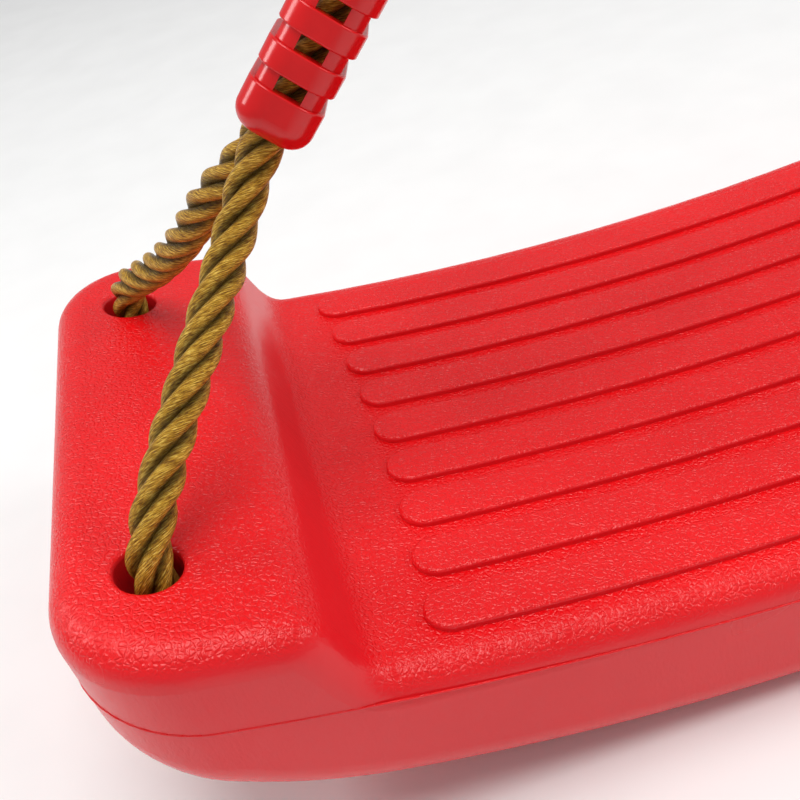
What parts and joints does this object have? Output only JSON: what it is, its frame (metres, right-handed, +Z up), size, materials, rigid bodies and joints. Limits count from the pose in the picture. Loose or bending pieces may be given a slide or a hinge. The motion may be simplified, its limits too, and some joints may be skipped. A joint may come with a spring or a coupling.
{
  "type": "board swing",
  "caption": "Curved moulded swing seat with ribbed top and raised ends, hung at each end on a doubled twisted rope through a slotted hand grip to a steel ring.",
  "frame": {"origin": "on the ground under the middle of the seat, on the short flat of its curved underside", "axes": "+X along the seat from one pair of rope holes to the other, +Y across the seat, +Z up"},
  "size_m": [0.426, 0.17, 0.2742],
  "materials": {
    "seat_plastic": "semi-gloss moulded plastic with a fine leather grain",
    "grip_plastic": "smooth glossy",
    "rope": "twisted plastic fibre, slightly glossy",
    "ring_steel": "plain zinc-plated wire"
  },
  "bodies": {
    "seat": {"seat_shell": "seat_plastic", "left_front_tail": "rope", "left_front_knot": "rope", "left_rear_tail": "rope", "left_rear_knot": "rope", "right_front_tail": "rope", "right_front_knot": "rope", "right_rear_tail": "rope", "right_rear_knot": "rope"},
    "left_bridle": {"left_rope": "rope"},
    "left_hand_grip": {"left_grip": "grip_plastic"},
    "left_hang_ring": {"left_ring": "ring_steel"},
    "right_bridle": {"right_rope": "rope"},
    "right_hand_grip": {"right_grip": "grip_plastic"},
    "right_hang_ring": {"right_ring": "ring_steel"}
  },
  "joints": [
    {"name": "left_bridle_swing", "type": "hinge", "parent": "seat", "child": "left_bridle", "pos_m": [-0.19, 0, 0.089], "axis": [0, 1, 0], "range_deg": [-100, 0]},
    {"name": "left_grip_slide", "type": "slide", "parent": "left_bridle", "child": "left_hand_grip", "axis": [0.7022, 0, 0.712], "range_m": [0, 0.012]},
    {"name": "left_ring_tilt", "type": "hinge", "parent": "left_bridle", "child": "left_hang_ring", "pos_m": [-0.04711, 0, 0.2339], "axis": [-0.6878, 0.2588, 0.6782], "range_deg": [-80, 80]},
    {"name": "right_bridle_swing", "type": "hinge", "parent": "seat", "child": "right_bridle", "pos_m": [0.19, 0, 0.089], "axis": [0, -1, 0], "range_deg": [-100, 0]},
    {"name": "right_grip_slide", "type": "slide", "parent": "right_bridle", "child": "right_hand_grip", "axis": [-0.7022, 0, 0.712], "range_m": [0, 0.012]},
    {"name": "right_ring_tilt", "type": "hinge", "parent": "right_bridle", "child": "right_hang_ring", "pos_m": [0.04711, 0, 0.2339], "axis": [0.6878, 0.2588, 0.6782], "range_deg": [-80, 80]}
  ]
}
